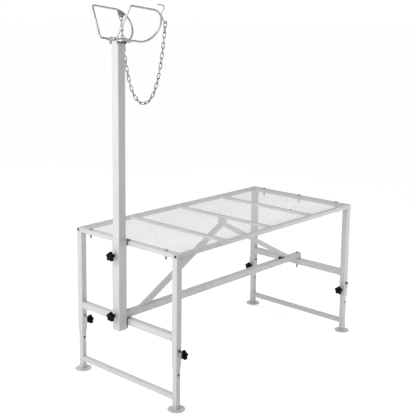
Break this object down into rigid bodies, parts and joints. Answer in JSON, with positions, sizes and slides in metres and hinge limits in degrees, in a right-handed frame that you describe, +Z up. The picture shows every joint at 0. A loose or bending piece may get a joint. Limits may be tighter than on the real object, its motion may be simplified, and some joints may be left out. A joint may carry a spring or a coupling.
{
  "type": "livestock trimming stand",
  "caption": "Height-adjustable grooming and trimming stand: mesh deck on telescoping legs, with a sliding head post, open nose loops and a neck chain.",
  "frame": {"origin": "on the floor under the middle of the whole stand", "axes": "+X from the head end of the deck to the tail end, +Y to the far side, +Z up"},
  "size_m": [1.3268, 0.653, 1.611],
  "materials": {
    "steel_paint": "light silver-grey powder coat, satin",
    "mesh_paint": "light powder coat on fine expanded metal",
    "hook_coating": "black dipped coating, dull",
    "zinc_plate": "bright zinc plate",
    "zinc_rod": "zinc-plated round rod and plate",
    "chain_zinc": "bright zinc-plated welded links",
    "knob_plastic": "black moulded plastic"
  },
  "bodies": {
    "stand": {"side_rail_near": "steel_paint", "side_rail_far": "steel_paint", "end_rail_head": "steel_paint", "end_rail_tail": "steel_paint", "cross_member_head": "steel_paint", "cross_member_middle": "steel_paint", "cross_member_tail": "steel_paint", "deck_mesh": "mesh_paint", "outer_leg_head_near": "steel_paint", "outer_leg_head_far": "steel_paint", "outer_leg_tail_near": "steel_paint", "outer_leg_tail_far": "steel_paint", "crossbar_head": "steel_paint", "crossbar_tail": "steel_paint", "corner_gusset": "steel_paint", "stretcher": "steel_paint", "brace_head": "steel_paint", "brace_tail": "steel_paint", "brace_bracket": "steel_paint", "post_sleeve": "steel_paint", "sleeve_hook_upper": "hook_coating", "sleeve_hook_lower": "hook_coating", "rail_bolt_head_near": "zinc_plate", "rail_bolt_head_far": "zinc_plate", "rail_bolt_tail_near": "zinc_plate", "rail_bolt_tail_middle": "zinc_plate", "rail_bolt_tail_far": "zinc_plate", "stretcher_bolt_head": "zinc_plate", "stretcher_bolt_tail": "zinc_plate"},
    "lower_frame_head": {"inner_leg_head_near": "steel_paint", "inner_leg_head_far": "steel_paint", "floor_bar_head": "steel_paint", "foot_disc_head_near": "steel_paint", "foot_disc_head_far": "steel_paint"},
    "lower_frame_tail": {"inner_leg_tail_near": "steel_paint", "inner_leg_tail_far": "steel_paint", "floor_bar_tail": "steel_paint", "foot_disc_tail_near": "steel_paint", "foot_disc_tail_far": "steel_paint"},
    "headpiece_post": {"head_post": "steel_paint", "head_plate": "zinc_rod", "nose_loop_left": "zinc_rod", "nose_loop_right": "zinc_rod", "chain_tab": "zinc_rod", "chain_hook": "zinc_rod", "head_chain": "chain_zinc"},
    "knob_head_near": {"leg_knob_head_near": "knob_plastic"},
    "knob_head_far": {"leg_knob_head_far": "knob_plastic"},
    "knob_tail_near": {"leg_knob_tail_near": "knob_plastic"},
    "knob_tail_far": {"leg_knob_tail_far": "knob_plastic"},
    "knob_post_lower": {"post_knob_lower": "knob_plastic"},
    "knob_post_upper": {"post_knob_upper": "knob_plastic"},
    "pin_head_near": {"leg_pin_head_near": "zinc_plate"},
    "ring_head_near": {"pin_ring_head_near": "zinc_plate"},
    "pin_head_far": {"leg_pin_head_far": "zinc_plate"},
    "ring_head_far": {"pin_ring_head_far": "zinc_plate"},
    "pin_tail_near": {"leg_pin_tail_near": "zinc_plate"},
    "ring_tail_near": {"pin_ring_tail_near": "zinc_plate"},
    "pin_tail_far": {"leg_pin_tail_far": "zinc_plate"},
    "ring_tail_far": {"pin_ring_tail_far": "zinc_plate"}
  },
  "joints": [
    {"name": "height_head", "type": "slide", "parent": "stand", "child": "lower_frame_head", "axis": [0, 0, 1], "range_m": [-0.1016, 0.0508]},
    {"name": "height_tail", "type": "slide", "parent": "stand", "child": "lower_frame_tail", "axis": [0, 0, 1], "range_m": [-0.1016, 0.0508]},
    {"name": "post_height", "type": "slide", "parent": "stand", "child": "headpiece_post", "axis": [0, 0, 1], "range_m": [-0.24, 0.25]},
    {"name": "turn_leg_knob_head_near", "type": "hinge", "parent": "stand", "child": "knob_head_near", "pos_m": [-0.54912, -0.2905, 0.219], "axis": [1, 0, 0], "continuous": true},
    {"name": "turn_leg_knob_head_far", "type": "hinge", "parent": "stand", "child": "knob_head_far", "pos_m": [-0.54912, 0.2905, 0.219], "axis": [1, 0, 0], "continuous": true},
    {"name": "turn_leg_knob_tail_near", "type": "hinge", "parent": "stand", "child": "knob_tail_near", "pos_m": [0.61287, -0.2905, 0.219], "axis": [-1, 0, 0], "continuous": true},
    {"name": "turn_leg_knob_tail_far", "type": "hinge", "parent": "stand", "child": "knob_tail_far", "pos_m": [0.61287, 0.2905, 0.219], "axis": [-1, 0, 0], "continuous": true},
    {"name": "turn_post_knob_lower", "type": "hinge", "parent": "stand", "child": "knob_post_lower", "pos_m": [-0.62638, 0, 0.34], "axis": [-1, 0, 0], "continuous": true},
    {"name": "turn_post_knob_upper", "type": "hinge", "parent": "stand", "child": "knob_post_upper", "pos_m": [-0.62638, 0, 0.596], "axis": [-1, 0, 0], "continuous": true},
    {"name": "pull_pin_head_near", "type": "slide", "parent": "stand", "child": "pin_head_near", "axis": [0, -1, 0], "range_m": [0, 0.045]},
    {"name": "swing_ring_head_near", "type": "hinge", "parent": "pin_head_near", "child": "ring_head_near", "pos_m": [-0.56363, -0.31155, 0.2514], "axis": [-1, 0, 0], "range_deg": [0, 150]},
    {"name": "pull_pin_head_far", "type": "slide", "parent": "stand", "child": "pin_head_far", "axis": [0, 1, 0], "range_m": [0, 0.045]},
    {"name": "swing_ring_head_far", "type": "hinge", "parent": "pin_head_far", "child": "ring_head_far", "pos_m": [-0.56363, 0.31155, 0.2514], "axis": [1, 0, 0], "range_deg": [0, 150]},
    {"name": "pull_pin_tail_near", "type": "slide", "parent": "stand", "child": "pin_tail_near", "axis": [0, -1, 0], "range_m": [0, 0.045]},
    {"name": "swing_ring_tail_near", "type": "hinge", "parent": "pin_tail_near", "child": "ring_tail_near", "pos_m": [0.62738, -0.31155, 0.2514], "axis": [-1, 0, 0], "range_deg": [0, 150]},
    {"name": "pull_pin_tail_far", "type": "slide", "parent": "stand", "child": "pin_tail_far", "axis": [0, 1, 0], "range_m": [0, 0.045]},
    {"name": "swing_ring_tail_far", "type": "hinge", "parent": "pin_tail_far", "child": "ring_tail_far", "pos_m": [0.62738, 0.31155, 0.2514], "axis": [1, 0, 0], "range_deg": [0, 150]}
  ]
}
